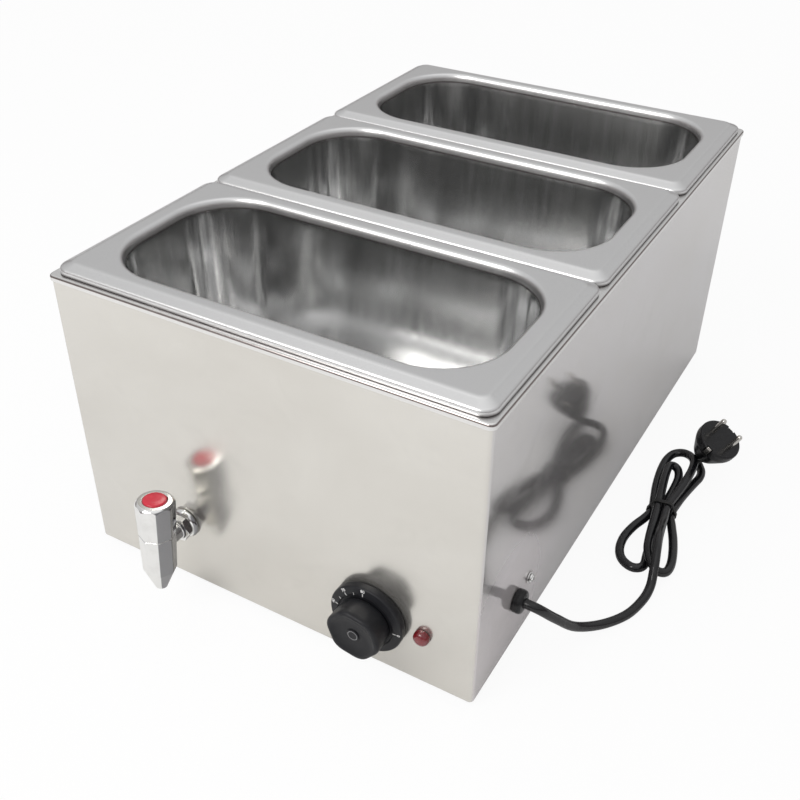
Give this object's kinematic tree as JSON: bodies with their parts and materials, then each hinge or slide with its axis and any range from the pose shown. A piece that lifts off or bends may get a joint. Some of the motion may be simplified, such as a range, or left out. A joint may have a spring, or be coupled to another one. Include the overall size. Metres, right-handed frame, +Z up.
{
  "type": "steam table unit",
  "caption": "Counter-top wet-well food warmer: boxed steel casing, heated water tank, lift-out pans side by side, drain tap, thermostat knob, indicator lamp and mains cord.",
  "frame": {"origin": "centre of the base plate's underside, on the casing's centre lines; the feet reach 8.3 mm below it", "axes": "+X to the right across the front as a user facing the controls sees it, +Y from the control panel to the back, +Z up"},
  "size_m": [0.4337, 0.5775, 0.2591],
  "materials": {
    "casing_steel": "satin, fine vertical and horizontal brushing",
    "tank_steel": "bright cold-rolled",
    "pan_steel": "satin flange, polished cavity",
    "rubber_black": "matt",
    "screw_steel": "plated",
    "heater_sheath": "dull annealed sheath",
    "brass": "machined",
    "ceramic": "unglazed ceramic and pale thermoset",
    "plastic_black": "fine satin texture",
    "lens_red": "translucent, gloss",
    "plastic_red": "gloss",
    "chrome": "bright plated",
    "cable_sheath": "semi-gloss",
    "pin_nickel": "nickel plated"
  },
  "bodies": {
    "housing": {"outer_shell": "casing_steel", "base_plate": "casing_steel", "tank_liner": "tank_steel", "foot_front_left": "rubber_black", "foot_front_right": "rubber_black", "foot_rear_left": "rubber_black", "foot_rear_right": "rubber_black", "foot_screw_front_left": "screw_steel", "foot_screw_front_right": "screw_steel", "foot_screw_rear_left": "screw_steel", "foot_screw_rear_right": "screw_steel", "heating_element": "heater_sheath", "element_gasket_left": "rubber_black", "element_gasket_right": "rubber_black", "element_nut_left": "brass", "element_nut_right": "brass", "sensor_bulb": "brass", "sensor_gland": "brass", "sensor_capillary": "brass", "thermostat_body": "ceramic", "thermostat_screw_left": "screw_steel", "thermostat_screw_right": "screw_steel", "dial_bezel": "plastic_black", "indicator_body": "plastic_black", "indicator_lens": "lens_red", "tap_body": "chrome", "tap_rosette": "chrome", "tap_front_nut": "chrome", "tap_gasket": "rubber_black", "tap_lock_nut": "brass", "drain_elbow": "brass", "drain_coupling": "brass", "drain_seat": "brass", "drain_nut": "brass", "terminal_block": "ceramic", "overheat_cutout": "plastic_black", "lead_element": "cable_sheath", "lead_thermostat": "cable_sheath", "lead_lamp": "cable_sheath", "earth_screw": "chrome", "earth_washer": "chrome", "earth_nut": "brass", "cord_bushing": "plastic_black", "cord_lock_nut": "plastic_black", "power_cord": "cable_sheath", "cord_tie": "plastic_black", "plug_body": "plastic_black", "plug_pin_a": "pin_nickel", "plug_pin_b": "pin_nickel"},
    "pan_front_body": {"pan_front": "pan_steel"},
    "pan_middle_body": {"pan_middle": "pan_steel"},
    "pan_rear_body": {"pan_rear": "pan_steel"},
    "knob": {"knob_grip": "plastic_black", "knob_badge": "plastic_black", "thermostat_shaft": "screw_steel"},
    "tap_lever": {"tap_handle": "chrome", "tap_handle_cap": "plastic_red", "tap_spindle": "brass"}
  },
  "joints": [
    {"name": "pan_front_lift", "type": "slide", "parent": "housing", "child": "pan_front_body", "axis": [0, 0, 1], "range_m": [0, 0.165]},
    {"name": "pan_middle_lift", "type": "slide", "parent": "housing", "child": "pan_middle_body", "axis": [0, 0, 1], "range_m": [0, 0.165]},
    {"name": "pan_rear_lift", "type": "slide", "parent": "housing", "child": "pan_rear_body", "axis": [0, 0, 1], "range_m": [0, 0.165]},
    {"name": "knob_turn", "type": "hinge", "parent": "housing", "child": "knob", "pos_m": [0.0892, -0.265, 0.0467], "axis": [0, 1, 0], "range_deg": [0, 250]},
    {"name": "tap_turn", "type": "hinge", "parent": "housing", "child": "tap_lever", "pos_m": [-0.0754, -0.29596, 0.066], "axis": [0, 0.0889, 0.996], "range_deg": [0, 90]}
  ]
}
